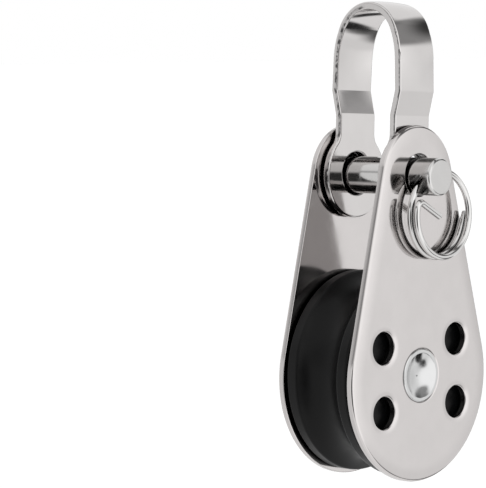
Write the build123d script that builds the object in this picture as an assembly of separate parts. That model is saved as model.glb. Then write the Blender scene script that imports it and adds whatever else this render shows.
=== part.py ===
"""Single pulley block with a clevis bow, in millimetres.

Frame: origin at the centre of the axle, +Z up towards the bow, +Y along the axle.
The free end of the clevis pin and its split ring are on the -Y side.
"""
from build123d import *
import math
import os

# Pin and axle
pin_height = 30.65           # pin over the axle
pin_radius = 2.9
pin_slack = 0.4              # to its holes in the cheeks and the bow, on radius
pin_drop = 0.2               # it lies this far under the middle of those holes
axle_radius = 3.7

# Cheeks: two equal pear-shaped plates
cheek_gap = 12.9             # clear space between the two plates
cheek_thickness = 1.2
cheek_low_radius = 16.0      # round end about the sheave
cheek_low_drop = 0.4         # its centre lies this far under the axle
cheek_top_radius = 8.3       # round end about the pin
cheek_top_drop = 0.5         # its centre lies this far under the pin
cheek_outer_round = 0.6      # tumbled edge on the outside
cheek_inner_round = 0.15
lightening_radius = 2.5
lightening_pitch_radius = 9.9
lightening_angle = 30.0      # above and below the horizontal
hole_edge_round = 0.5

# Sheave: one moulded wheel
cheek_overhang = 0.3         # the cheeks' round ends beyond the sheave
rim_side_clearance = 0.4     # rim to cheek
flange_land = 1.95           # flat top of each flange, at the side of the groove
groove_depth = 2.3
flange_round = 0.45
rim_depth = 1.7              # the rim's side faces, on radius
web_recess = 0.4             # web faces under the rim's side faces
hub_wall = 2.0               # hub about the bush
hub_side_clearance = 0.12    # hub face to cheek
bore_clearance = 0.06        # sheave to bush, on radius

# Axle and bush
axle_fit = 0.03              # axle to cheek hole, on radius
axle_countersink = 0.5       # in the cheek's outer face, for the riveted end
lip_seat = 0.1               # the spread end's widest point, below the cheek's outer face
lip_stand_out = 0.1          # beyond the cheek's outer face
lip_width = 0.6              # about the dish pressed into each end
lip_round = 0.18
dish_depth = 0.95
bush_wall = 1.3
bush_fit = 0.05              # axle to bush, on radius

# Clevis pin
pin_stand_out = 4.35         # free end beyond the near cheek
pin_end_round = 0.45
pin_head_overhang = 1.7      # head beyond the shank, on radius
pin_head_thickness = 1.6
pin_head_round = 0.4
pin_head_clearance = 0.1     # head to far cheek
cross_hole_radius = 1.75
cross_hole_stand_out = 2.05  # its centre beyond the near cheek

# Split ring
wire_radius = 0.5
coil_radius = 6.6            # to the middle of the wire
turn_gap = 0.3               # clear space between the turns
ring_stand_out = 1.3         # the wire in the cross hole, beyond the near cheek
ring_lean = 27.5             # the ring hangs this far off plumb, towards +X
ring_tilt = 1.0              # its foot stands away from the cheek
coil_front_angle = 168.0     # where the front turn bends into the inner tail
coil_rear_angle = -26.0      # where the rear turn runs out into the outer tail
tail_bend_radius = 0.8
tail_bend_angle = 108.0
inner_tail = 4.7
outer_tail = 3.2

# Bow: one bent strap, with heights over the pin
strap_thickness = 1.15
strap_width = 8.2
leg_side_clearance = 0.38    # leg to cheek
bow_flare = 0.9              # the wide part beyond the legs, each side
eye_inset = 1.6              # eye inside the cheek's round end
eye_blend = 2.6              # hollow between eye and strap
eye_edge_round = 0.35
leg_above_eye = 2.6
flare_height = 3.8
loop_height = 13.7           # wide part, from the upper bend to the top
bend_radius = 1.0            # to the middle of the strap
crown_inset = 0.67           # outside of the top arc inside the wide part
crown_half_angle = 65.0
strap_edge_round = 0.28
bow_lean = 2.6               # the bow stands off plumb, towards +X

half_gap = cheek_gap / 2
outer_face = half_gap + cheek_thickness
cheek_top_rise = pin_height - cheek_top_drop
pin_hole_radius = pin_radius + pin_slack
bush_radius = axle_radius + bush_wall
sheave_radius = cheek_low_radius - cheek_overhang
leg_half_width = half_gap - leg_side_clearance
bow_half_width = leg_half_width + bow_flare
eye_radius = cheek_top_radius - eye_inset
lower_bend = eye_radius + leg_above_eye
upper_bend = lower_bend + flare_height
bow_top = upper_bend + loop_height
tolerance = 0.01             # lengths closer than this count as equal


def turned_piece(draw_profile):
    """Turn a half profile, drawn in the XZ plane as (radius, height), about Z and lay it along Y."""
    with BuildPart() as turned:
        with BuildSketch(Plane.XZ):
            with BuildLine():
                draw_profile()
            make_face()
        revolve(axis=Axis.Z)
    return turned.part.rotate(Axis.X, 90)


def round_bar(radius, length, y=0.0):
    """A cylinder on the Y axis, with its middle at y."""
    return Pos(0, y, 0) * Rot(90, 0, 0) * Cylinder(radius, length)


def lightening_centres():
    """Centres (x, z) of the four lightening holes of a cheek."""
    angle = math.radians(lightening_angle)
    across = lightening_pitch_radius * math.cos(angle)
    up = lightening_pitch_radius * math.sin(angle)
    return [(side * across, level * up) for side in (-1, 1) for level in (-1, 1)]


def make_cheek(side):
    """A cheek plate; side is -1 for the near one and +1 for the far one."""
    with BuildPart() as cheek:
        # local y of this plane is world Z, and it faces -Y
        with BuildSketch(Plane.XZ.offset(half_gap)):
            with BuildSketch(mode=Mode.PRIVATE) as ends:
                with Locations((0, -cheek_low_drop)):
                    Circle(cheek_low_radius)
                with Locations((0, cheek_top_rise)):
                    Circle(cheek_top_radius)
            make_hull(ends.sketch.edges())
            with Locations(*lightening_centres()):
                Circle(lightening_radius, mode=Mode.SUBTRACT)
            Circle(axle_radius + axle_fit, mode=Mode.SUBTRACT)
            with Locations((0, pin_height + pin_drop)):
                Circle(pin_hole_radius, mode=Mode.SUBTRACT)
        extrude(amount=cheek_thickness)
        plate = cheek.part
        outer = plate.faces().sort_by(Axis.Y)[0]
        inner = plate.faces().sort_by(Axis.Y)[-1]
        outer_rim = outer.outer_wire().edges()
        inner_rim = inner.outer_wire().edges()
        hole_rims = ShapeList(edge for wire in outer.inner_wires() for edge in wire.edges())
        axle_rim = hole_rims.sort_by_distance((0, -outer_face, 0))[0]
        fillet(outer_rim, cheek_outer_round)
        fillet(inner_rim, cheek_inner_round)
        fillet([edge for edge in hole_rims if edge is not axle_rim], hole_edge_round)
        chamfer(axle_rim, axle_countersink)
    if side < 0:
        return cheek.part
    return cheek.part.mirror(Plane.XZ)


def make_sheave():
    """The grooved wheel, with thin web faces between hub and rim."""
    bore = bush_radius + bore_clearance
    hub_radius = bush_radius + hub_wall
    web_outer_radius = sheave_radius - rim_depth
    hub_half = half_gap - hub_side_clearance
    rim_half = half_gap - rim_side_clearance
    groove_half = rim_half - flange_land
    web_half = rim_half - web_recess

    def profile():
        Polyline(
            (sheave_radius, -groove_half),
            (sheave_radius, -rim_half),
            (web_outer_radius, -rim_half),
            (web_outer_radius, -web_half),
            (hub_radius, -web_half),
            (hub_radius, -hub_half),
            (bore, -hub_half),
            (bore, hub_half),
            (hub_radius, hub_half),
            (hub_radius, web_half),
            (web_outer_radius, web_half),
            (web_outer_radius, rim_half),
            (sheave_radius, rim_half),
            (sheave_radius, groove_half),
        )
        ThreePointArc(
            (sheave_radius, groove_half),
            (sheave_radius - groove_depth, 0),
            (sheave_radius, -groove_half),
        )

    wheel = turned_piece(profile)
    rim_edges = [
        edge
        for edge in wheel.edges().filter_by(GeomType.CIRCLE)
        if edge.radius > sheave_radius - tolerance
    ]
    return wheel.fillet(flange_round, rim_edges)


def make_axle():
    """Solid axle with a spread end in each cheek, pressed in to a round dish with a rounded lip."""
    end = outer_face + lip_stand_out
    seat = outer_face - lip_seat
    flare = axle_countersink - lip_seat
    spread = axle_radius + flare
    dish = spread - lip_width
    dish_curve = (dish**2 + dish_depth**2) / (2 * dish_depth)
    opening = math.degrees(math.asin(dish / dish_curve))

    def profile():
        Polyline(
            (dish, -end),
            (spread, -end),
            (spread, -seat),
            (axle_radius, -seat + flare),
            (axle_radius, seat - flare),
            (spread, seat),
            (spread, end),
            (dish, end),
        )
        CenterArc((0, end - dish_depth + dish_curve), dish_curve, -90, opening)
        CenterArc((0, -end + dish_depth - dish_curve), dish_curve, 90 - opening, opening)
        Line((0, -end + dish_depth), (0, end - dish_depth))

    axle = turned_piece(profile)
    lip_edges = [
        edge
        for edge in axle.edges().filter_by(GeomType.CIRCLE)
        if abs(abs(edge.center().Y) - end) < tolerance
    ]
    return axle.fillet(lip_round, lip_edges)


def make_bush():
    """Tube that keeps the cheeks apart and carries the sheave."""
    return round_bar(bush_radius, cheek_gap) - round_bar(axle_radius + bush_fit, cheek_gap)


def make_clevis_pin():
    """Headed pin along Y, with a cross hole in its free end for the ring."""
    free_end = outer_face + pin_stand_out
    head_seat = outer_face + pin_head_clearance
    shank_length = free_end + head_seat
    head_radius = pin_radius + pin_head_overhang
    head = round_bar(head_radius, pin_head_thickness, head_seat + pin_head_thickness / 2)
    head = head.fillet(pin_head_round, head.edges().filter_by(GeomType.CIRCLE))
    shank = round_bar(pin_radius, shank_length, (head_seat - free_end) / 2)
    end_rim = shank.edges().filter_by(GeomType.CIRCLE).sort_by(Axis.Y)[0]
    shank = shank.fillet(pin_end_round, [end_rim])
    past_both_sides = 4 * pin_radius
    cross_hole = (
        Pos(0, -outer_face - cross_hole_stand_out, 0)
        * Rot(0, 90 - ring_lean, 0)
        * Cylinder(cross_hole_radius, past_both_sides)
    )
    return Pos(0, 0, pin_height) * (head + shank - cross_hole)


def make_split_ring():
    """Wire coil through the pin's cross hole, one end bent in across it and one standing off."""
    coil_pitch = 2 * wire_radius + turn_gap
    hole_angle = 90 + ring_lean
    turns = (720 + coil_rear_angle - coil_front_angle) / 360
    turns_to_hole = (360 + coil_rear_angle - hole_angle) / 360
    # drawn about the coil's own axis: x across, y up, z towards the viewer; the wire starts at the back
    coil = Edge.make_helix(coil_pitch, coil_pitch * turns, coil_radius, lefthand=True)
    coil = coil.moved(Location((0, 0, -coil_pitch * turns_to_hole), (0, 0, coil_rear_angle)))
    back_end = Line(coil @ 0 - (coil % 0) * outer_tail, coil @ 0)
    along = (coil % 1).normalized()
    inward = along.cross(Vector(0, 0, 1)).normalized()
    bend = math.radians(tail_bend_angle)
    bend_end = coil @ 1 + along * (tail_bend_radius * math.sin(bend)) + inward * (
        tail_bend_radius * (1 - math.cos(bend))
    )
    tail_bend = TangentArc(coil @ 1, bend_end, tangent=along)
    tail = Line(bend_end, bend_end + (tail_bend % 1) * inner_tail)
    path = Wire([back_end.edge(), coil, tail_bend.edge(), tail.edge()])
    section = Plane(origin=path @ 0, z_dir=path % 0) * Circle(wire_radius)
    wire = sweep(section, path=path)
    # the point of the coil that lies in the hole comes to the local origin
    lean = math.radians(ring_lean)
    wire = Pos(coil_radius * math.sin(lean), -coil_radius * math.cos(lean), 0) * wire
    wire = wire.rotate(Axis((0, 0, 0), (math.cos(lean), math.sin(lean), 0)), -ring_tilt)
    seat = Plane(
        origin=(0, -outer_face - ring_stand_out, pin_height), x_dir=(1, 0, 0), z_dir=(0, -1, 0)
    )
    return seat * wire


def draw_strap_centreline():
    """Draw the middle line of the bow's strap as (across, up), with the pin at the origin."""
    middle = strap_thickness / 2
    leg = leg_half_width - middle
    wide = bow_half_width - middle
    crown = bow_half_width - crown_inset - middle
    shoulder_angle = 90 - crown_half_angle
    fold = math.radians(shoulder_angle)
    # a wider arc joins each upright to the crown, tangent to both
    shoulder = (wide - crown * math.cos(fold)) / (1 - math.cos(fold))
    spring = bow_top - middle - crown - (shoulder - crown) * math.sin(fold)
    foot = -eye_radius - strap_thickness
    FilletPolyline(
        (leg, foot), (leg, lower_bend), (wide, upper_bend), (wide, spring), radius=bend_radius
    )
    right_shoulder = JernArc((wide, spring), (0, 1), shoulder, shoulder_angle)
    JernArc(right_shoulder @ 1, right_shoulder % 1, crown, crown_half_angle)
    mirror(about=Plane.YZ)


def is_eye_hole_rim(edge):
    """True for the rims of the two eye holes, before they are rounded."""
    return edge.geom_type == GeomType.CIRCLE and abs(edge.radius - pin_hole_radius) < tolerance


def is_strap_edge(edge):
    """True for the long edges of the strap and the rims of its eyes, but not for lines across it."""
    middle = edge @ 0.5
    crosses = edge.geom_type == GeomType.LINE and abs((edge % 0.5).X) > 1 - tolerance
    from_hole = math.hypot(middle.X, middle.Z - pin_drop)
    in_eye_hole = from_hole < pin_hole_radius + eye_edge_round + tolerance
    return not crosses and not in_eye_hole


def make_bow():
    """The bent strap: its side form crossed with its front outline of strap and two eyes."""
    reach = bow_top + eye_radius
    with BuildPart() as side_form:
        with BuildSketch(Plane.YZ.offset(-eye_radius)):
            with BuildLine():
                draw_strap_centreline()
                offset(amount=strap_thickness / 2, side=Side.BOTH, kind=Kind.ARC)
            make_face()
        extrude(amount=2 * eye_radius)
    with BuildPart() as front_form:
        with BuildSketch(Plane.XZ.offset(-bow_half_width)):
            Circle(eye_radius)
            with Locations((0, reach / 2)):
                Rectangle(strap_width, reach)
            hollows = [
                corner
                for corner in vertices()
                if 0 < corner.Y < eye_radius and abs(abs(corner.X) - strap_width / 2) < tolerance
            ]
            fillet(hollows, eye_blend)
            with Locations((0, pin_drop)):
                Circle(pin_hole_radius, mode=Mode.SUBTRACT)
        extrude(amount=2 * bow_half_width)
    bow = side_form.part & front_form.part
    bow = bow.fillet(eye_edge_round, [edge for edge in bow.edges() if is_eye_hole_rim(edge)])
    return bow.fillet(strap_edge_round, [edge for edge in bow.edges() if is_strap_edge(edge)])


if __name__ == "__main__":
    os.makedirs("parts", exist_ok=True)
    bow_seat = Pos(0, 0, pin_height) * Rot(0, bow_lean, 0)
    pieces = {
        "near_cheek": make_cheek(-1),
        "far_cheek": make_cheek(1),
        "sheave": make_sheave(),
        "axle": make_axle(),
        "axle_bush": make_bush(),
        "clevis_pin": make_clevis_pin(),
        "split_ring": make_split_ring(),
        "bow": bow_seat * make_bow(),
    }
    for name, piece in pieces.items():
        export_step(piece, os.path.join("parts", name + ".step"))
        box = piece.bounding_box()
        print(name, "volume", round(piece.volume, 1), "valid", piece.is_valid, box.min, box.max)
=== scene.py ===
"""Studio picture of a small single pulley block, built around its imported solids.

All lengths are in metres, in the block's own frame: the origin is the middle of the axle, +Z points up to
the bow and the pin's free end, with its split ring, points to -Y.
"""

import logging
import math
from dataclasses import dataclass
from enum import Enum

import bmesh
import bpy
from mathutils import Matrix, Vector

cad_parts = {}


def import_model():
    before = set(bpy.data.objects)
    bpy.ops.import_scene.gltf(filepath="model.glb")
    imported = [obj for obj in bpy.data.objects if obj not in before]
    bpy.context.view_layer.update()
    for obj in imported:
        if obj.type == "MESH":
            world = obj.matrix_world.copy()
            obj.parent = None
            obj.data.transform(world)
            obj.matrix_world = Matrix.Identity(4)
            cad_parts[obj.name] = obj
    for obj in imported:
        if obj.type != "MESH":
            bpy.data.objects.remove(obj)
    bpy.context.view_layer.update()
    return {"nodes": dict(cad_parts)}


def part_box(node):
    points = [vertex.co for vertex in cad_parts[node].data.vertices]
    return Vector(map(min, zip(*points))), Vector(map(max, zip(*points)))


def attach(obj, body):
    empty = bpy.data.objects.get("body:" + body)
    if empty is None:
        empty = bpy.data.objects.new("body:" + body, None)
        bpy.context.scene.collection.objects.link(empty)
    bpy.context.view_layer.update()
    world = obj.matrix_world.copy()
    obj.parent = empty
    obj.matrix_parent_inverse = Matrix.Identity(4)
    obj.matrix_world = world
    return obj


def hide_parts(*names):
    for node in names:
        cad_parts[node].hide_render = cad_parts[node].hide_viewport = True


MM = 0.001
# points closer than this become one point
WELD = 0.0005 * MM
# heights closer than this count as one height
LEVEL_PLAY = 0.000005 * MM
# how far along the Y axis a face's normal points when the face is a sheet's flat one
FLAT_FACE = 0.99999
log = logging.getLogger("pulley_block")

Colour = tuple[float, float, float]
Socket = bpy.types.NodeSocket
Value = float | tuple[float, ...] | Vector | Socket


class Metal(Enum):
    """Tone of each steel piece, as linear reflectance."""

    CHEEK = (0.640, 0.613, 0.606)
    STRAP = (0.645, 0.625, 0.618)
    PIN = (0.605, 0.597, 0.590)
    AXLE = (0.640, 0.640, 0.640)
    WIRE = (0.680, 0.672, 0.665)


class NodeCanvas:
    """A node tree with short calls for adding nodes and joining them."""

    def __init__(self, tree: bpy.types.NodeTree) -> None:
        """Start from an empty tree.

        Args:
            tree: The node tree to fill.
        """
        self.tree = tree
        self.tree.nodes.clear()

    def add(
        self, kind: str, values: dict[str | int, Value] | None = None, **settings: object
    ) -> bpy.types.Node:
        """Add one node.

        Args:
            kind: Blender's name for the node type.
            values: What its inputs take, by their names or positions: plain values or outputs.
            settings: Attributes of the node.

        Returns:
            The new node.
        """
        node = self.tree.nodes.new(kind)
        for name, value in settings.items():
            setattr(node, name, value)
        for key, value in (values or {}).items():
            if isinstance(value, Socket):
                self.join(value, node.inputs[key])
            else:
                node.inputs[key].default_value = value
        return node

    def join(self, source: Socket, target: Socket) -> None:
        """Link an output to an input."""
        self.tree.links.new(source, target)

    def maths(self, operation: str, *values: Value) -> Socket:
        """Work a number out of one, two or three others, by Blender's name for the operation."""
        return self.add("ShaderNodeMath", dict(enumerate(values)), operation=operation).outputs[0]

    def dot(self, one: Value, other: Value) -> Socket:
        """Multiply two vectors into a number."""
        node = self.add("ShaderNodeVectorMath", {0: one, 1: other}, operation="DOT_PRODUCT")
        return node.outputs["Value"]

    def vector(self, **parts: Value) -> Socket:
        """Combine x, y and z into a vector; what is left out is 0."""
        values = {name.upper(): value for name, value in parts.items()}
        return self.add("ShaderNodeCombineXYZ", values).outputs["Vector"]

    def ramp(
        self, source: Value, low: float, high: float, start: float, end: float, course: str = "SMOOTHSTEP"
    ) -> Socket:
        """Turn a range of one value into a range of another.

        Args:
            source: The value that is read.
            low: Where the change begins.
            high: Where the change ends.
            start: What comes out at and before low.
            end: What comes out at and after high.
            course: How it changes between, in Blender's word.

        Returns:
            The output socket.
        """
        values = {"Value": source, "From Min": low, "From Max": high, "To Min": start, "To Max": end}
        return self.add("ShaderNodeMapRange", values, interpolation_type=course).outputs["Result"]

    def mix(self, cover: Value, below: Value, above: Value) -> Socket:
        """Lay one number over another by how far it covers it.

        Args:
            cover: 0 for below alone, 1 for above alone.
            below: The value underneath.
            above: The value on top.

        Returns:
            The output socket.
        """
        values = {"Factor": cover, "A": below, "B": above}
        return self.add("ShaderNodeMix", values, data_type="FLOAT").outputs["Result"]

    def noise(self, place: Socket, scale: Value, detail: float = 2.0, roughness: float = 0.5) -> Socket:
        """Add a noise texture.

        Args:
            place: Where it is looked up.
            scale: How fine it is.
            detail: How many finer layers it has.
            roughness: How strong the finer layers are.

        Returns:
            The noise, between 0 and 1.
        """
        values = {"Vector": place, "Scale": scale, "Detail": detail, "Roughness": roughness}
        return self.add("ShaderNodeTexNoise", values).outputs["Fac"]

    def emboss(self, shader: bpy.types.Node, height: Socket, distance: float) -> None:
        """Tilt a shader's normal by a height times a distance."""
        bump = self.add("ShaderNodeBump", {"Distance": distance, "Height": height})
        self.join(bump.outputs["Normal"], shader.inputs["Normal"])


def shader_group(name: str, inputs: tuple[str, ...], outputs: tuple[str, ...]) -> bpy.types.NodeTree:
    """Make an empty shader node group that takes and gives numbers.

    Args:
        name: The group's name.
        inputs: Names of the numbers that go in.
        outputs: Names of the numbers that come out.

    Returns:
        The group's tree, with no nodes in it.
    """
    tree = bpy.data.node_groups.new(name, "ShaderNodeTree")
    for way, names in (("INPUT", inputs), ("OUTPUT", outputs)):
        for socket_name in names:
            tree.interface.new_socket(socket_name, in_out=way, socket_type="NodeSocketFloat")
    return tree


def principled(name: str) -> tuple[bpy.types.Material, NodeCanvas, bpy.types.Node]:
    """Start a material with a Principled BSDF in it.

    Args:
        name: The material's name.

    Returns:
        The material, its node tree and the shader.
    """
    made = bpy.data.materials.new(name)
    made.use_nodes = True
    canvas = NodeCanvas(made.node_tree)
    shader = canvas.add("ShaderNodeBsdfPrincipled")
    canvas.add("ShaderNodeOutputMaterial", {"Surface": shader.outputs["BSDF"]})
    return made, canvas, shader


class PolishMarks:
    """Shared effect: the faint waviness, haze and hairlines that tumbling leaves on polished steel."""

    NAME = "polish_marks"
    INPUTS = ("Gloss", "Haze", "Haze Scale", "Swell", "Line Depth")
    OUTPUTS = ("Roughness", "Tone", "Height")
    HAZE_DETAIL = 3.0
    HAZE_ROUGHNESS = 0.55
    HAZE_SPAN = (0.3, 0.7)
    TONE_SPAN = (0.25, 0.75)
    DARKEST_TONE = 0.965
    LEAST_ROUGHNESS = 0.02
    LINE_SCALE = 2600.0
    LINE_STRETCH = (1.0, 1.0, 0.06)
    LINE_LEAN = math.radians(12.0)
    SWELL_SCALE = 190.0
    SWELL_DETAIL = 1.0

    @classmethod
    def tree(cls) -> bpy.types.NodeTree:
        """Make the group, or find it if it is there.

        Returns:
            The group's tree; it gives a roughness, a tone and a height.
        """
        found = bpy.data.node_groups.get(cls.NAME)
        if found:
            return found
        tree = shader_group(cls.NAME, cls.INPUTS, cls.OUTPUTS)
        canvas = NodeCanvas(tree)
        given = canvas.add("NodeGroupInput").outputs
        place = canvas.add("ShaderNodeTexCoord").outputs["Object"]
        haze = canvas.noise(place, given["Haze Scale"], cls.HAZE_DETAIL, cls.HAZE_ROUGHNESS)
        spread = canvas.maths("MULTIPLY", canvas.ramp(haze, *cls.HAZE_SPAN, -1.0, 1.0), given["Haze"])
        rough = canvas.maths("ADD", given["Gloss"], spread)
        stretch = {"Vector": place, "Scale": cls.LINE_STRETCH, "Rotation": (0.0, cls.LINE_LEAN, 0.0)}
        lines = canvas.noise(canvas.add("ShaderNodeMapping", stretch).outputs["Vector"], cls.LINE_SCALE)
        swell = canvas.noise(place, cls.SWELL_SCALE, cls.SWELL_DETAIL)
        hills = canvas.maths("MULTIPLY", swell, given["Swell"])
        hairlines = canvas.maths("MULTIPLY", lines, given["Line Depth"])
        canvas.add("NodeGroupOutput", {
            "Roughness": canvas.maths("MAXIMUM", rough, cls.LEAST_ROUGHNESS),
            "Tone": canvas.ramp(haze, *cls.TONE_SPAN, cls.DARKEST_TONE, 1.0),
            "Height": canvas.maths("ADD", hills, hairlines),
        })
        return tree


@dataclass(frozen=True)
class PolishedSteel:
    """Polished stainless steel with a duller, darker sheared edge, and painted shade that darkens it in
    narrow places.
    """

    TORN_SPAN = (0.55, 0.8)
    PIT_SCALE = 1500.0
    PIT_DETAIL = 4.0
    PIT_SPAN = (0.4, 0.6)
    PIT_TONE = 0.12
    TORN_LOSS = 0.2
    CREVICE_SHADE_SAMPLES = 8
    # how far the normal points along X where the strap's edge starts, and where it is full
    EDGE_ALONG_X = (0.75, 0.97)
    # how far the normal points along Y where a cheek's edge is full, and where its face starts
    EDGE_ACROSS_Y = (0.1, 0.45)

    name: str
    tone: Metal
    gloss: float = 0.09
    haze: float = 0.03
    haze_scale: float = 240.0
    line_depth: float = 0.0005 * MM
    swell: float = 0.012 * MM
    edge_axis: str = ""
    edge_tone: float = 0.88
    edge_roughness: float = 0.2
    torn_side: str = ""
    # painted shade in narrow places: its darkest tone, how far it looks for neighbours, and the openness
    # where it starts and ends
    crevice_shade_tone: float = 0.12
    crevice_shade_reach: float = 1.2 * MM
    crevice_shade_shut: float = 0.2
    crevice_shade_open: float = 0.62

    def material(self) -> bpy.types.Material:
        """Build the material.

        Returns:
            The finished material.
        """
        made, canvas, shader = principled(self.name)
        shader.inputs["Metallic"].default_value = 1.0
        values = {
            "Gloss": self.gloss, "Haze": self.haze, "Haze Scale": self.haze_scale,
            "Swell": self.swell, "Line Depth": self.line_depth,
        }
        marks = canvas.add("ShaderNodeGroup", values, node_tree=PolishMarks.tree())
        tone, rough = marks.outputs["Tone"], marks.outputs["Roughness"]
        if self.edge_axis:
            edge = self.edge_mask(canvas)
            tone = canvas.mix(edge, tone, self.torn_tone(canvas) if self.torn_side else self.edge_tone)
            rough = canvas.mix(edge, rough, self.edge_roughness)
        # the tone is darkened by painted shade in narrow places
        shade = canvas.maths("MULTIPLY", tone, self.painted_crevice_shade(canvas))
        values = {"Factor": 1.0, "A": (*self.tone.value, 1.0), "B": shade}
        colour = canvas.add("ShaderNodeMix", values, data_type="RGBA", blend_type="MULTIPLY")
        canvas.join(colour.outputs["Result"], shader.inputs["Base Color"])
        canvas.join(rough, shader.inputs["Roughness"])
        canvas.emboss(shader, marks.outputs["Height"], 1.0)
        return made

    def painted_crevice_shade(self, canvas: NodeCanvas) -> Socket:
        """Paint shade into narrow places: the less of the surroundings a point sees, the darker its tone.

        Args:
            canvas: The material's node tree.

        Returns:
            The share of the tone that is left.
        """
        reach = {"Distance": self.crevice_shade_reach}
        around = canvas.add("ShaderNodeAmbientOcclusion", reach, samples=self.CREVICE_SHADE_SAMPLES)
        span = self.crevice_shade_shut, self.crevice_shade_open
        return canvas.ramp(around.outputs["AO"], *span, self.crevice_shade_tone, 1.0)

    def torn_tone(self, canvas: NodeCanvas) -> Socket:
        """Tone of a sheared edge: even, but pitted on the side where the metal tore.

        Args:
            canvas: The material's node tree.

        Returns:
            The tone.
        """
        side = canvas.add("ShaderNodeAttribute", attribute_name=self.torn_side)
        torn = canvas.ramp(side.outputs["Fac"], *self.TORN_SPAN, 0.0, 1.0)
        place = canvas.add("ShaderNodeTexCoord").outputs["Object"]
        grain = canvas.noise(place, self.PIT_SCALE, self.PIT_DETAIL)
        pits = canvas.ramp(grain, *self.PIT_SPAN, self.PIT_TONE, self.edge_tone - self.TORN_LOSS)
        return canvas.mix(torn, self.edge_tone, pits)

    def edge_mask(self, canvas: NodeCanvas) -> Socket:
        """Find the sheared edge, where the surface turns away from the sheet's face.

        Args:
            canvas: The material's node tree.

        Returns:
            1 on the edge and 0 on the face.
        """
        normal = canvas.add("ShaderNodeTexCoord").outputs["Normal"]
        facing = canvas.add("ShaderNodeSeparateXYZ", {"Vector": normal})
        turned = canvas.maths("ABSOLUTE", facing.outputs[self.edge_axis])
        if self.edge_axis == "X":
            return canvas.ramp(turned, *self.EDGE_ALONG_X, 0.0, 1.0)
        return canvas.ramp(turned, *self.EDGE_ACROSS_Y, 1.0, 0.0)


@dataclass(frozen=True)
class MouldedNylon:
    """Black moulded nylon with a satin skin."""

    name: str = "black_nylon"
    colour: Colour = (0.004, 0.004, 0.0042)
    tint_low: float = 0.8
    tint_high: float = 1.25
    roughness_low: float = 0.28
    roughness_high: float = 0.42
    specular: float = 0.16
    cloud_scale: float = 220.0
    cloud_detail: float = 4.0
    cloud_span: tuple[float, float] = (0.3, 0.7)
    grain_scale: float = 3200.0
    grain_depth: float = 0.004 * MM

    def material(self) -> bpy.types.Material:
        """Build the material.

        Returns:
            The finished material.
        """
        made, canvas, shader = principled(self.name)
        shader.inputs["Specular IOR Level"].default_value = self.specular
        place = canvas.add("ShaderNodeTexCoord").outputs["Object"]
        cloud = canvas.noise(place, self.cloud_scale, self.cloud_detail)
        rough = canvas.ramp(cloud, *self.cloud_span, self.roughness_low, self.roughness_high)
        canvas.join(rough, shader.inputs["Roughness"])
        low, high = (
            (*(share * tone for tone in self.colour), 1.0) for share in (self.tint_low, self.tint_high)
        )
        tint = canvas.add("ShaderNodeMix", {"Factor": cloud, "A": low, "B": high}, data_type="RGBA")
        canvas.join(tint.outputs["Result"], shader.inputs["Base Color"])
        canvas.emboss(shader, canvas.noise(place, self.grain_scale), self.grain_depth)
        return made


class SizedTree:
    """A Geometry Nodes tree that is built once and used with its own sizes each time."""

    def __init__(self, name: str, sockets: dict[str, str]) -> None:
        """Start the tree.

        Args:
            name: The tree's name.
            sockets: Socket type of each input, by name.
        """
        self.tree = bpy.data.node_groups.new(name, "GeometryNodeTree")
        for socket_name, kind in sockets.items():
            self.tree.interface.new_socket(socket_name, in_out="INPUT", socket_type="NodeSocket" + kind)
        self.tree.interface.new_socket("Geometry", in_out="OUTPUT", socket_type="NodeSocketGeometry")
        self.canvas = NodeCanvas(self.tree)
        self.given = self.canvas.add("NodeGroupInput").outputs
        self.result = self.canvas.add("NodeGroupOutput").inputs["Geometry"]

    def finish(self, geometry: Socket) -> None:
        """End the tree with real, smooth geometry in its material.

        Args:
            geometry: What the tree has made.
        """
        for kind in ("RealizeInstances", "SetShadeSmooth", "SetMaterial"):
            node = self.canvas.add("GeometryNode" + kind, {"Geometry": geometry})
            geometry = node.outputs["Geometry"]
        self.canvas.join(self.given["Material"], node.inputs["Material"])
        self.canvas.join(geometry, self.result)

    def bake(self, name: str, mesh: bpy.types.Mesh, values: dict[str, object]) -> bpy.types.Object:
        """Run the tree on a mesh and keep the result as a plain piece.

        Args:
            name: The piece's name.
            mesh: What the tree starts from; it may be empty.
            values: Value of each named input.

        Returns:
            The piece, with no modifier on it.
        """
        piece = bpy.data.objects.new(name, mesh)
        bpy.context.scene.collection.objects.link(piece)
        modifier = piece.modifiers.new("shape", "NODES")
        modifier.node_group = self.tree
        for item in self.tree.interface.items_tree:
            if item.in_out == "INPUT" and item.name in values:
                modifier[item.identifier] = values[item.name]
        graph = bpy.context.evaluated_depsgraph_get()
        baked = bpy.data.meshes.new_from_object(piece.evaluated_get(graph), depsgraph=graph)
        piece.modifiers.clear()
        piece.data = baked
        close_seams(baked)
        log.info("%s has %d faces", name, len(baked.polygons))
        return piece


def close_seams(mesh: bpy.types.Mesh) -> None:
    """Join doubled points and turn every face outwards.

    Args:
        mesh: The mesh to mend.
    """
    shape = bmesh.new()
    shape.from_mesh(mesh)
    bmesh.ops.remove_doubles(shape, verts=shape.verts, dist=WELD)
    bmesh.ops.recalc_face_normals(shape, faces=shape.faces)
    shape.to_mesh(mesh)
    shape.free()
    mesh.update()


def shade_flat_faces(mesh: bpy.types.Mesh) -> None:
    """Shade a sheet's two faces as flat up to where a rim starts.

    Args:
        mesh: A sheet that stands across the Y axis.
    """
    normals = [point.normal.copy() for point in mesh.vertices]
    for face in mesh.polygons:
        if abs(face.normal.y) > FLAT_FACE:
            for index in face.vertices:
                normals[index] = face.normal.copy()
    mesh.normals_split_custom_set_from_vertices(normals)


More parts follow.
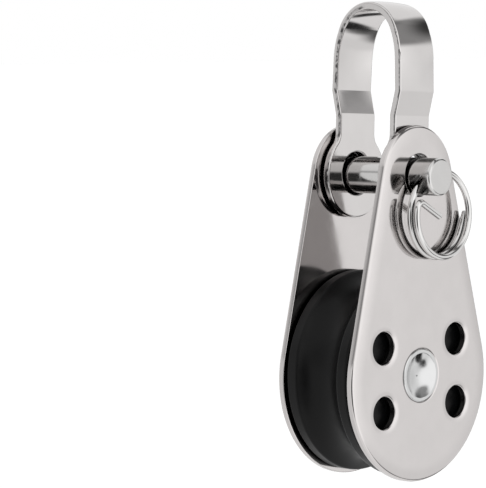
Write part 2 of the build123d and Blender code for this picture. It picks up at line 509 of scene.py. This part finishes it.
class PressedEdge:
    """Geometry Nodes group: the rolled, rounded rim of a sheet along two circles and their tangents.

    The rim is drawn with the sheet lying flat, its inner face at height 0. Its rows run from the outer
    face, over a shallow roll and a round, down the wall and round on to the inner face.
    """

    NAME = "pressed_edge"
    ROW_SPANS = (0.0, 0.35, 0.7, 0.75, 1.0)

    @classmethod
    def tree(cls) -> bpy.types.NodeTree:
        """Make the group, or find it if it is there.

        Returns:
            The group's tree; it gives the rim's mesh.
        """
        found = bpy.data.node_groups.get(cls.NAME)
        if found:
            return found
        sizes = (
            "Across", "Low Height", "Low Radius", "Top Height", "Top Radius", "Side",
            "Roll Width", "Roll Depth", "Outer Round", "Inner Round", "Thickness",
        )
        sockets = {name: "Float" for name in sizes} | {"Points": "Int", "Rows": "Int"}
        made = SizedTree(cls.NAME, sockets)
        canvas, given, maths = made.canvas, made.given, made.canvas.maths
        points = {"Vertices X": given["Points"], "Vertices Y": given["Rows"]}
        grid = canvas.add("GeometryNodeMeshGrid", {"Size X": 1.0, "Size Y": 1.0} | points)
        position = canvas.add("GeometryNodeInputPosition").outputs["Position"]
        place = canvas.add("ShaderNodeSeparateXYZ", {"Vector": position})
        # the grid is 1 wide and lies round the origin, so half a width makes its places run from 0 to 1
        along = maths("ADD", place.outputs["X"], 0.5)
        row = maths("ADD", place.outputs["Y"], 0.5)
        inset, depth = cls.section(made, row)
        across, height = cls.course(made, along, inset)
        target = canvas.vector(x=across, y=height, z=maths("SUBTRACT", given["Thickness"], depth))
        values = {"Geometry": grid.outputs["Mesh"], "Position": target}
        moved = canvas.add("GeometryNodeSetPosition", values)
        canvas.join(moved.outputs["Geometry"], made.result)
        return made.tree

    @classmethod
    def section(cls, made: SizedTree, row: Socket) -> tuple[Socket, Socket]:
        """Shape the rim's section.

        Args:
            made: The tree that is built.
            row: Place on the section, 0 on the outer face and 1 on the inner face.

        Returns:
            How far in from the rim that is, and how deep under the outer face.
        """
        canvas, given, maths = made.canvas, made.given, made.canvas.maths
        roll, bend, wall, lip = (
            canvas.ramp(row, low, high, 0.0, 1.0, "LINEAR")
            for low, high in zip(cls.ROW_SPANS, cls.ROW_SPANS[1:])
        )
        quarter = math.pi / 2
        bend_angle = maths("MULTIPLY", bend, quarter)
        lip_angle = maths("MULTIPLY", lip, quarter)
        flat = maths("SUBTRACT", given["Roll Width"], given["Outer Round"])
        rolled = maths("SUBTRACT", given["Roll Width"], maths("MULTIPLY", flat, roll))
        bent = maths("MULTIPLY", given["Outer Round"], maths("SINE", bend_angle))
        outside = maths("SUBTRACT", rolled, bent)
        lip_turn = maths("SUBTRACT", 1.0, maths("COSINE", lip_angle))
        inset = maths("ADD", outside, maths("MULTIPLY", given["Inner Round"], lip_turn))
        rise = maths("SUBTRACT", 1.0, maths("DIVIDE", outside, given["Roll Width"]))
        drop = maths("MULTIPLY", given["Roll Depth"], maths("MULTIPLY", rise, rise))
        bend_turn = maths("SUBTRACT", 1.0, maths("COSINE", bend_angle))
        bend_drop = maths("MULTIPLY", given["Outer Round"], bend_turn)
        straight = maths("SUBTRACT", given["Thickness"], given["Roll Depth"])
        straight = maths("SUBTRACT", straight, maths("ADD", given["Outer Round"], given["Inner Round"]))
        wall_drop = maths("MULTIPLY", straight, wall)
        lip_drop = maths("MULTIPLY", given["Inner Round"], maths("SINE", lip_angle))
        return inset, maths("ADD", maths("ADD", drop, bend_drop), maths("ADD", wall_drop, lip_drop))

    @staticmethod
    def course(made: SizedTree, along: Socket, inset: Socket) -> tuple[Socket, Socket]:
        """Lead the rim round: each point sits on the circle that reaches further its way.

        Args:
            made: The tree that is built.
            along: Place on the way round, from 0 to 1.
            inset: How far in from the rim the point is.

        Returns:
            The point's place across and up the lying sheet.
        """
        canvas, given, maths = made.canvas, made.given, made.canvas.maths
        turn = maths("MULTIPLY", maths("MULTIPLY", along, math.tau), given["Side"])
        cosine, sine = maths("COSINE", turn), maths("SINE", turn)
        gain = maths("SUBTRACT", given["Low Radius"], given["Top Radius"])
        lean = maths("DIVIDE", gain, maths("SUBTRACT", given["Top Height"], given["Low Height"]))
        on_top = maths("GREATER_THAN", sine, lean)
        radius = canvas.mix(on_top, given["Low Radius"], given["Top Radius"])
        height = canvas.mix(on_top, given["Low Height"], given["Top Height"])
        radius = maths("ADD", radius, maths("MULTIPLY", inset, given["Side"]))
        across = maths("ADD", given["Across"], maths("MULTIPLY", radius, cosine))
        return across, maths("ADD", height, maths("MULTIPLY", radius, sine))


@dataclass(frozen=True)
class Roll:
    """How a rim is rolled: width and depth of the shallow roll, and the round that ends it."""

    width: float
    depth: float
    bend: float


@dataclass(frozen=True)
class Rim:
    """One rim of a cheek, round two circles: its outline (side -1) or a hole in it (side 1)."""

    low_height: float
    low_radius: float
    top_height: float
    top_radius: float
    roll: Roll
    across: float = 0.0
    side: float = 1.0
    points: int = 96
    rows: int = 25


@dataclass(frozen=True)
class CheekPlate:
    """A pressed cheek with four lightening holes, as a Geometry Nodes tree."""

    rims: tuple[Rim, ...]
    thickness: float
    inner_round: float = 0.15 * MM

    def tree(self) -> SizedTree:
        """Build the tree.

        Returns:
            The tree; its inputs are the clear half gap, the turn about the Z axis and the material.
        """
        made = SizedTree("cheek_plate", {"Half Gap": "Float", "Turn": "Float", "Material": "Material"})
        canvas = made.canvas
        parts = canvas.add("GeometryNodeJoinGeometry").inputs["Geometry"]
        rims = canvas.add("GeometryNodeJoinGeometry")
        for rim in self.rims:
            canvas.join(self.rim_node(canvas, rim), rims.inputs["Geometry"])
        edges = rims.outputs["Geometry"]
        for level in (0.0, self.thickness):
            canvas.join(self.face_node(canvas, edges, level), parts)
        canvas.join(edges, parts)
        upright = canvas.add("GeometryNodeTransform", {
            "Geometry": parts.node.outputs["Geometry"],
            "Translation": canvas.vector(y=canvas.maths("MULTIPLY", made.given["Half Gap"], -1.0)),
            "Rotation": (math.pi / 2, 0.0, 0.0),
        })
        turn = canvas.vector(z=made.given["Turn"])
        values = {"Geometry": upright.outputs["Geometry"], "Rotation": turn}
        made.finish(canvas.add("GeometryNodeTransform", values).outputs["Geometry"])
        return made

    def rim_node(self, canvas: NodeCanvas, rim: Rim) -> Socket:
        """Add one rim to the tree.

        Args:
            canvas: The tree that is built.
            rim: The rim.

        Returns:
            Its mesh.
        """
        sizes = {
            "Across": rim.across, "Low Height": rim.low_height, "Low Radius": rim.low_radius,
            "Top Height": rim.top_height, "Top Radius": rim.top_radius, "Side": rim.side,
            "Roll Width": rim.roll.width, "Roll Depth": rim.roll.depth, "Outer Round": rim.roll.bend,
            "Inner Round": self.inner_round, "Thickness": self.thickness,
            "Points": rim.points, "Rows": rim.rows,
        }
        return canvas.add("GeometryNodeGroup", sizes, node_tree=PressedEdge.tree()).outputs["Geometry"]

    def face_node(self, canvas: NodeCanvas, edges: Socket, level: float) -> Socket:
        """Fill the flat face that the rims leave at one height of the lying sheet.

        Args:
            canvas: The tree that is built.
            edges: All the rims.
            level: Height of the face.

        Returns:
            The face.
        """
        position = canvas.add("GeometryNodeInputPosition").outputs["Position"]
        place = canvas.add("ShaderNodeSeparateXYZ", {"Vector": position})
        off = canvas.maths("ABSOLUTE", canvas.maths("SUBTRACT", place.outputs["Z"], level))
        values = {"Mesh": edges, "Selection": canvas.maths("LESS_THAN", off, LEVEL_PLAY)}
        loops = canvas.add("GeometryNodeMeshToCurve", values)
        fill = canvas.add("GeometryNodeFillCurve", {"Curve": loops.outputs["Curve"]})
        values = {"Geometry": fill.outputs["Mesh"], "Translation": (0.0, 0.0, level)}
        return canvas.add("GeometryNodeTransform", values).outputs["Geometry"]


@dataclass(frozen=True)
class BentWire:
    """Round wire along a path, with its cut ends rounded over, as a Geometry Nodes tree."""

    radius: float
    end_round: float
    sides: int = 24

    def tree(self) -> SizedTree:
        """Build the tree.

        Returns:
            The tree; it starts from a string of edges.
        """
        sockets = {"Path": "Geometry", "Wire Radius": "Float", "End Round": "Float", "Sides": "Int"}
        made = SizedTree("bent_wire", sockets | {"Material": "Material"})
        canvas, given, maths = made.canvas, made.given, made.canvas.maths
        line = canvas.add("GeometryNodeMeshToCurve", {"Mesh": given["Path"]})
        gone = canvas.add("GeometryNodeSplineParameter").outputs["Length"]
        length = canvas.add("GeometryNodeSplineLength").outputs["Length"]
        to_end = maths("MINIMUM", gone, maths("SUBTRACT", length, gone))
        # near a cut end the radius follows a quarter circle
        short = maths("MAXIMUM", maths("SUBTRACT", given["End Round"], to_end), 0.0)
        whole = maths("MULTIPLY", given["End Round"], given["End Round"])
        left = maths("SQRT", maths("SUBTRACT", whole, maths("MULTIPLY", short, short)))
        full = maths("ADD", maths("SUBTRACT", given["Wire Radius"], given["End Round"]), left)
        thick = canvas.add("GeometryNodeSetCurveRadius", {"Curve": line.outputs["Curve"], "Radius": full})
        values = {"Resolution": given["Sides"], "Radius": 1.0}
        circle = canvas.add("GeometryNodeCurvePrimitiveCircle", values)
        tube = canvas.add("GeometryNodeCurveToMesh", {
            "Curve": thick.outputs["Curve"], "Profile Curve": circle.outputs["Curve"],
            "Scale": full, "Fill Caps": True,
        })
        made.finish(tube.outputs["Mesh"])
        return made


@dataclass(frozen=True)
class RingPath:
    """Middle line of the split ring's wire, in the ring's own plane and then in the block's frame."""

    coil_radius: float = 6.6 * MM
    pitch: float = 1.3 * MM
    front_angle: float = 168.0
    rear_angle: float = -26.0
    bend_radius: float = 0.8 * MM
    bend_angle: float = 108.0
    inner_tail: float = 4.7 * MM
    outer_tail: float = 3.2 * MM
    lean: float = 27.5
    tilt: float = 1.0
    seat: Vector = Vector((0.0, -8.95 * MM, 30.65 * MM))
    end_round: float = 0.16 * MM
    coil_steps: int = 300
    bend_steps: int = 12
    round_steps: int = 6

    def end_steps(self) -> list[float]:
        """Space the points of a rounded cut end.

        Returns:
            Their distances from the end, closest together at the end.
        """
        angles = [math.pi / 2 * step / self.round_steps for step in range(self.round_steps + 1)]
        return [self.end_round * (1 - math.cos(angle)) for angle in angles]

    def coil_point(self, travelled: float) -> Vector:
        """Find a point of the coil.

        Args:
            travelled: Angle from the coil's rear end, clockwise as seen from the front, in degrees.

        Returns:
            The point, in the ring's own plane with its depth behind it.
        """
        angle = math.radians(self.rear_angle - travelled)
        to_hole = 360 + self.rear_angle - 90 - self.lean
        depth = self.pitch * (travelled - to_hole) / 360
        return Vector((self.coil_radius * math.cos(angle), self.coil_radius * math.sin(angle), depth))

    def points(self) -> list[Vector]:
        """Points of the wire's middle line.

        Returns:
            The points from the rear end to the end of the inner tail, in the block's frame.
        """
        total = 720 + self.rear_angle - self.front_angle
        coil = [self.coil_point(total * step / self.coil_steps) for step in range(self.coil_steps + 1)]
        back = (coil[0] - coil[1]).normalized()
        along = (coil[-1] - coil[-2]).normalized()
        inward = along.cross(Vector((0.0, 0.0, 1.0))).normalized()
        line = [coil[0] + back * (self.outer_tail - step) for step in self.end_steps()] + coil
        bend = math.radians(self.bend_angle)
        for step in range(1, self.bend_steps + 1):
            turn = bend * step / self.bend_steps
            swung = along * math.sin(turn) + inward * (1 - math.cos(turn))
            line.append(coil[-1] + self.bend_radius * swung)
        ahead = along * math.cos(bend) + inward * math.sin(bend)
        line += [line[-1] + ahead * (self.inner_tail - step) for step in reversed(self.end_steps())]
        lean = math.radians(self.lean)
        hang = self.coil_radius * Vector((math.sin(lean), -math.cos(lean), 0.0))
        level = Vector((math.cos(lean), math.sin(lean), 0.0))
        tilted = Matrix.Rotation(-math.radians(self.tilt), 3, level)
        placed = [tilted @ (point + hang) for point in line]
        return [self.seat + Vector((point.x, -point.z, point.y)) for point in placed]


@dataclass(frozen=True)
class CuppedStrap:
    """The bow, cupped a little across its width where it is bent, with a torn side to its edge."""

    TORN = "torn_side"
    KEPT = "kept_normal"
    PROBE = 0.01 * MM
    LEAST_LENGTH = 0.001

    pin_height: float = 30.65 * MM
    lean: float = 2.6
    half_width: float = 4.1 * MM
    arch_height: float = 19.83 * MM
    cup_start: float = 12.5 * MM
    cup_full: float = 16.0 * MM
    cup: float = 0.18 * MM
    half_span: float = 6.5 * MM
    torn_shift: float = 0.2
    slices: int = 14

    def foot(self) -> Vector:
        """Middle of the pin, where heights up the bow start."""
        return Vector((0.0, 0.0, self.pin_height))

    def axes(self) -> tuple[Vector, Vector]:
        """Directions across the strap and up the leaning bow."""
        cosine, sine = math.cos(math.radians(self.lean)), math.sin(math.radians(self.lean))
        return Vector((cosine, 0.0, -sine)), Vector((sine, 0.0, cosine))

    def depth(self, across: float, height: float) -> float:
        """How far the cup is sunk at a place of the strap."""
        share = min(max((height - self.cup_start) / (self.cup_full - self.cup_start), 0.0), 1.0)
        return self.cup * share * share * (3 - 2 * share) * (across / self.half_width) ** 2

    def outward(self, point: Vector, height: float) -> Vector:
        """Find the direction away from the inside of the bow.

        Args:
            point: A point of the bow, from its foot.
            height: How far up the bow it is.

        Returns:
            The direction, with length 1.
        """
        rise = max(height - self.arch_height, 0.0)
        up = self.axes()[1]
        return (Vector((0.0, point.y, 0.0)) + up * rise).normalized()

    def slopes(self, across: float, height: float) -> tuple[float, float]:
        """Find how fast the cup deepens.

        Args:
            across: Place across the strap.
            height: Place up the bow.

        Returns:
            The slope across the strap and the slope up the bow.
        """
        here = self.depth(across, height)
        aside = self.depth(across + self.PROBE, height)
        above = self.depth(across, height + self.PROBE)
        return (aside - here) / self.PROBE, (above - here) / self.PROBE

    def slit(self, shape: bmesh.types.BMesh) -> None:
        """Cut the strap's faces into strips along it, so that they can be cupped.

        Args:
            shape: The strap's mesh.
        """
        across = self.axes()[0]
        for step in range(1, self.slices):
            place = self.foot() + across * self.half_width * (2 * step / self.slices - 1)
            parts = shape.verts[:] + shape.edges[:] + shape.faces[:]
            bmesh.ops.bisect_plane(shape, geom=parts, plane_co=place, plane_no=across, dist=WELD)
        bmesh.ops.triangulate(shape, faces=[face for face in shape.faces if len(face.verts) > 4])

    def press(self, shape: bmesh.types.BMesh) -> None:
        """Sink the cup, tilt the kept normals with it and mark the torn side.

        Args:
            shape: The strap's mesh.
        """
        foot = self.foot()
        across, up = self.axes()
        normals = shape.loops.layers.float_vector[self.KEPT]
        torn = shape.verts.layers.float.new(self.TORN)
        for vert in shape.verts:
            offset = vert.co - foot
            place = offset.dot(across), offset.dot(up)
            out = self.outward(offset, place[1])
            side = Vector((vert.normal.y, vert.normal.z))
            shift = self.torn_shift * offset.y / self.half_span
            vert[torn] = 0.5 - 0.5 * side.x / max(side.length, self.LEAST_LENGTH) + shift
            slope_across, slope_up = self.slopes(*place)
            tilt = across * slope_across + up * slope_up
            for loop in vert.link_loops:
                loop[normals] = (loop[normals] + tilt * out.dot(loop[normals])).normalized()
            vert.co -= out * self.depth(*place)

    def piece(self, node: bpy.types.Object, name: str) -> bpy.types.Object:
        """Make the piece from the solid bow.

        Args:
            node: The solid bow.
            name: The piece's name.

        Returns:
            The piece.
        """
        source = node.data.copy()
        kept = source.attributes.new(self.KEPT, "FLOAT_VECTOR", "CORNER")
        normals = [part for normal in source.corner_normals for part in normal.vector]
        kept.data.foreach_set("vector", normals)
        shape = bmesh.new()
        shape.from_mesh(source)
        bmesh.ops.remove_doubles(shape, verts=shape.verts, dist=WELD)
        self.slit(shape)
        self.press(shape)
        mesh = bpy.data.meshes.new(name)
        shape.to_mesh(mesh)
        shape.free()
        corner_normals = [Vector(item.vector) for item in mesh.attributes[self.KEPT].data]
        for spent in (self.KEPT, "custom_normal"):
            if spent in mesh.attributes:
                mesh.attributes.remove(mesh.attributes[spent])
        mesh.normals_split_custom_set(corner_normals)
        piece = bpy.data.objects.new(name, mesh)
        bpy.context.scene.collection.objects.link(piece)
        log.info("%s has %d faces", name, len(mesh.polygons))
        return piece


def dress(piece: bpy.types.Object, material: bpy.types.Material) -> None:
    """Give a piece one material.

    Args:
        piece: The object to dress.
        material: What it is made of.
    """
    piece.data.materials.clear()
    piece.data.materials.append(material)
    log.info("%s wears %s", piece.name, material.name)


@dataclass
class Shell:
    """The two cheeks, riveted together by the axle and its bush."""

    nodes: dict[str, bpy.types.Object]
    top_radius: float = 8.3 * MM
    outline_roll: Roll = Roll(width=2.6 * MM, depth=0.16 * MM, bend=0.42 * MM)
    outline_points: int = 257
    hole_radius: float = 2.5 * MM
    hole_roll: Roll = Roll(width=1.0 * MM, depth=0.13 * MM, bend=0.14 * MM)
    hole_pitch_radius: float = 9.9 * MM
    hole_angle: float = 30.0
    axle_hole_radius: float = 3.73 * MM
    axle_hole_roll: Roll = Roll(width=0.75 * MM, depth=0.42 * MM, bend=0.05 * MM)
    pin_hole_radius: float = 3.3 * MM
    pin_hole_roll: Roll = Roll(width=0.4 * MM, depth=0.02 * MM, bend=0.1 * MM)
    pin_hole_height: float = 30.85 * MM

    def build(self) -> None:
        """Press the cheeks and dress them, the axle and the bush."""
        sheet = PolishedSteel("cheek_steel", Metal.CHEEK, swell=0.003 * MM, edge_axis="Y").material()
        turned = PolishedSteel(
            "axle_steel", Metal.AXLE, gloss=0.16, haze=0.06, haze_scale=700.0
        ).material()
        dress(self.nodes["axle"], turned)
        dress(self.nodes["axle_bush"], turned)
        low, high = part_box("near_cheek")
        plate = CheekPlate(self.rims(low, high), high.y - low.y).tree()
        for node, turn in (("near_cheek", 0.0), ("far_cheek", math.pi)):
            values = {"Half Gap": -high.y, "Turn": turn, "Material": sheet}
            cheek = plate.bake(node + "_pressed", bpy.data.meshes.new(node + "_start"), values)
            shade_flat_faces(cheek.data)
            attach(cheek, "block")
            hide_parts(node)

    def rims(self, low: Vector, high: Vector) -> tuple[Rim, ...]:
        """Work out the cheek's outline and holes.

        Args:
            low: Lowest corner of the solid cheek.
            high: Highest corner of the solid cheek.

        Returns:
            The outline, the lightening holes and the holes for axle and pin.
        """
        low_radius = (high.x - low.x) / 2
        low_height, top_height = low.z + low_radius, high.z - self.top_radius
        outline = Rim(
            low_height, low_radius, top_height, self.top_radius, self.outline_roll,
            side=-1.0, points=self.outline_points,
        )
        angle = math.radians(self.hole_angle)
        across, up = self.hole_pitch_radius * math.cos(angle), self.hole_pitch_radius * math.sin(angle)
        places = [(x, z) for x in (-across, across) for z in (-up, up)]
        holes = [self.hole(*place, self.hole_radius, self.hole_roll) for place in places]
        axle_hole = self.hole(0.0, 0.0, self.axle_hole_radius, self.axle_hole_roll)
        pin_hole = self.hole(0.0, self.pin_hole_height, self.pin_hole_radius, self.pin_hole_roll)
        return (outline, *holes, axle_hole, pin_hole)

    @staticmethod
    def hole(across: float, height: float, radius: float, roll: Roll) -> Rim:
        """Rim of a round hole."""
        return Rim(height, radius, height, radius, roll, across=across)


@dataclass
class Sheave:
    """The grooved wheel."""

    nodes: dict[str, bpy.types.Object]

    def build(self) -> None:
        """Dress the wheel."""
        dress(self.nodes["sheave"], MouldedNylon().material())


@dataclass
class Hanger:
    """The bow, its clevis pin and the split ring."""

    nodes: dict[str, bpy.types.Object]
    wire_radius: float = 0.5 * MM

    def build(self) -> None:
        """Dress the three pieces."""
        strap = PolishedSteel(
            "strap_steel", Metal.STRAP, edge_axis="X", torn_side=CuppedStrap.TORN
        ).material()
        pin = PolishedSteel("pin_steel", Metal.PIN, gloss=0.13, haze=0.05, haze_scale=500.0).material()
        # painted shade: the wire is drawn darker where its coils and the pin lie close to it
        wire = PolishedSteel(
            "wire_steel", Metal.WIRE, gloss=0.05, haze=0.02, crevice_shade_tone=0.05, crevice_shade_open=0.9
        ).material()
        bow = CuppedStrap().piece(self.nodes["bow"], "bow_strap")
        dress(bow, strap)
        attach(bow, "bow")
        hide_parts("bow")
        dress(self.nodes["clevis_pin"], pin)
        path = RingPath()
        points = path.points()
        mesh = bpy.data.meshes.new("ring_path")
        mesh.from_pydata(points, [(step, step + 1) for step in range(len(points) - 1)], [])
        made = BentWire(self.wire_radius, path.end_round)
        values = {"Wire Radius": made.radius, "End Round": made.end_round, "Sides": made.sides}
        ring = made.tree().bake("split_ring_wire", mesh, values | {"Material": wire})
        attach(ring, "ring")
        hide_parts("split_ring")


@dataclass(frozen=True)
class Patch:
    """An oval, soft-edged part of the surround, brighter or dimmer than the tent, as the steel sees it.

    Angles are in degrees; softness is how far the edge spreads either way, as a share of the oval's size.
    """

    azimuth: float
    elevation: float
    half_width: float
    half_height: float
    strength: float
    softness: float = 0.3

    def apply(self, canvas: NodeCanvas, towards: Socket, below: Value) -> Socket:
        """Lay the patch over what lies under it.

        Args:
            canvas: The node tree that is built.
            towards: The direction that is looked up.
            below: Strength of the surround so far.

        Returns:
            The strength with the patch on it.
        """
        ahead = direction(self.azimuth, self.elevation)
        level = direction(self.azimuth + 90.0, 0.0)
        upright = ahead.cross(level)
        along, across, up = (canvas.dot(towards, axis) for axis in (ahead, level, upright))
        sideways, rise = canvas.maths("ARCTAN2", across, along), canvas.maths("ARCSINE", up)
        sideways = canvas.maths("DIVIDE", sideways, math.radians(self.half_width))
        rise = canvas.maths("DIVIDE", rise, math.radians(self.half_height))
        squares = [canvas.maths("POWER", share, 2.0) for share in (sideways, rise)]
        out = canvas.maths("SQRT", canvas.maths("ADD", *squares))
        cover = canvas.ramp(out, 1.0 - self.softness, 1.0 + self.softness, 1.0, 0.0)
        return canvas.mix(cover, below, self.strength)


def direction(azimuth: float, elevation: float) -> Vector:
    """Unit vector from the block; azimuth 0 is -Y and 90 is +X, elevation is above the horizon."""
    turn, rise = math.radians(azimuth), math.radians(elevation)
    return Vector((math.sin(turn) * math.cos(rise), -math.cos(turn) * math.cos(rise), math.sin(rise)))


@dataclass
class Studio:
    """Floor, surround and camera."""

    floor_drop: float = 76 * MM
    floor_reach: float = 30.0
    camera_azimuth: float = -46.407
    camera_elevation: float = 4.255
    camera_roll: float = -0.785
    camera_distance: float = 398.76 * MM
    frame_across: float = -21.827 * MM
    frame_up: float = 20.309 * MM
    axle_offset: float = 0.4 * MM
    focal_pixels: float = 2557.54
    image_width: float = 486.0
    sensor: float = 36.0
    clip_start: float = 10 * MM
    paper_tone: float = 0.82
    paper_glow: float = 0.36
    tent_strength: float = 0.99
    # azimuth, elevation, half width, half height, strength and, where it isn't 0.3, softness
    patches: tuple[Patch, ...] = (
        Patch(5.0, 5.0, 38.0, 50.0, 1.32),
        Patch(-120.0, -5.0, 45.0, 45.0, 0.92),
        Patch(-97.0, 21.0, 38.0, 7.0, 0.32, 0.4),
        Patch(-45.0, -10.0, 21.0, 22.0, 0.05),
        Patch(72.0, -5.0, 15.0, 12.0, 0.84, 0.5),
        Patch(52.0, -17.0, 14.0, 5.0, 0.92, 0.5),
        Patch(60.0, 26.0, 38.0, 11.5, 0.33, 0.2),
        Patch(78.0, 25.0, 16.0, 7.0, 0.05, 0.6),
        Patch(71.0, -32.0, 22.0, 6.5, 0.03, 0.25),
        Patch(36.0, -26.0, 13.0, 6.0, 0.3, 0.4),
        Patch(38.0, -30.0, 9.0, 6.0, 0.06, 0.4),
        Patch(110.0, -38.5, 10.0, 4.5, 0.05, 0.4),
        Patch(130.0, -5.0, 25.0, 15.0, 0.53, 0.4),
        Patch(100.0, -4.0, 14.0, 12.0, 0.45, 0.4),
        Patch(41.0, 44.0, 17.0, 12.0, 0.12, 0.4),
        Patch(85.0, 71.0, 45.0, 8.0, 0.12, 0.5),
    )

    def build(self) -> None:
        """Make everything around the block."""
        self.make_floor()
        self.make_surround()
        self.make_camera()
        bpy.context.scene.view_settings.view_transform = "Standard"

    def make_floor(self) -> None:
        """Lay a plain pale floor that keeps the block's shadow."""
        mesh = bpy.data.meshes.new("floor")
        reach, level = self.floor_reach, -self.floor_drop
        sides = ((-reach, -reach), (reach, -reach), (reach, reach), (-reach, reach))
        mesh.from_pydata([(x, y, level) for x, y in sides], [], [(0, 1, 2, 3)])
        floor = bpy.data.objects.new("floor", mesh)
        bpy.context.scene.collection.objects.link(floor)
        mesh.materials.append(self.paper())
        # the steel sees the surround's own lower half instead of the paper
        floor.visible_glossy = False

    def paper(self) -> bpy.types.Material:
        """Make plain white paper, a little brighter to the camera than its light makes it.

        Returns:
            The floor's material.
        """
        made = bpy.data.materials.new("floor_paper")
        made.use_nodes = True
        canvas = NodeCanvas(made.node_tree)
        seen = canvas.add("ShaderNodeLightPath").outputs["Is Camera Ray"]
        strength = canvas.maths("MULTIPLY", seen, self.paper_glow)
        glow = canvas.add("ShaderNodeEmission", {"Strength": strength}).outputs["Emission"]
        white = (self.paper_tone, self.paper_tone, self.paper_tone, 1.0)
        matt = canvas.add("ShaderNodeBsdfDiffuse", {"Color": white}).outputs["BSDF"]
        both = canvas.add("ShaderNodeAddShader", {0: matt, 1: glow})
        canvas.add("ShaderNodeOutputMaterial", {"Surface": both.outputs["Shader"]})
        return made

    def surround_tone(self) -> bpy.types.NodeTree:
        """Build the group that lays the patches over the tent.

        Returns:
            The group's tree; it gives the surround's strength in a direction.
        """
        tree = shader_group("surround_tone", (), ("Strength",))
        tree.interface.new_socket("Direction", in_out="INPUT", socket_type="NodeSocketVector")
        canvas = NodeCanvas(tree)
        towards = canvas.add("NodeGroupInput").outputs["Direction"]
        tent: Value = self.tent_strength
        for patch in self.patches:
            tent = patch.apply(canvas, towards, tent)
        canvas.add("NodeGroupOutput", {"Strength": tent})
        return tree

    def make_surround(self) -> None:
        """Make the tent round the block: white to the eye, with its own tones in the steel."""
        world = bpy.data.worlds.new("tent")
        bpy.context.scene.world = world
        world.use_nodes = True
        canvas = NodeCanvas(world.node_tree)
        towards = canvas.add("ShaderNodeTexCoord").outputs["Generated"]
        tone = canvas.add("ShaderNodeGroup", node_tree=self.surround_tone())
        canvas.join(towards, tone.inputs["Direction"])
        seen = canvas.add("ShaderNodeLightPath").outputs["Is Camera Ray"]
        strength = canvas.mix(seen, tone.outputs["Strength"], 1.0)
        shine = canvas.add("ShaderNodeBackground", {"Color": (1.0, 1.0, 1.0, 1.0), "Strength": strength})
        canvas.add("ShaderNodeOutputWorld", {"Surface": shine.outputs["Background"]})

    def make_camera(self) -> None:
        """Stand the camera where the photograph was taken from."""
        back = direction(self.camera_azimuth, self.camera_elevation)
        turn = math.radians(self.camera_azimuth)
        level = Vector((math.cos(turn), math.sin(turn), 0.0))
        upright = back.cross(level)
        roll = math.radians(self.camera_roll)
        right = level * math.cos(roll) + upright * math.sin(roll)
        up = upright * math.cos(roll) - level * math.sin(roll)
        aim = right * self.frame_across + up * self.frame_up - Vector((0.0, 0.0, self.axle_offset))
        data = bpy.data.cameras.new("camera")
        data.sensor_fit = "HORIZONTAL"
        data.sensor_width = self.sensor
        data.lens = self.focal_pixels * self.sensor / self.image_width
        data.clip_start = self.clip_start
        camera = bpy.data.objects.new("camera", data)
        bpy.context.scene.collection.objects.link(camera)
        camera.location = aim + back * self.camera_distance
        camera.rotation_mode = "QUATERNION"
        camera.rotation_quaternion = Matrix((right, up, back)).transposed().to_quaternion()
        bpy.context.scene.camera = camera


def main() -> None:
    """Build the picture."""
    logging.basicConfig(level=logging.INFO)
    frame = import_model()
    nodes = frame["nodes"]
    for part in (Shell(nodes), Sheave(nodes), Hanger(nodes)):
        part.build()
    Studio().build()


if __name__ == "__main__":
    main()
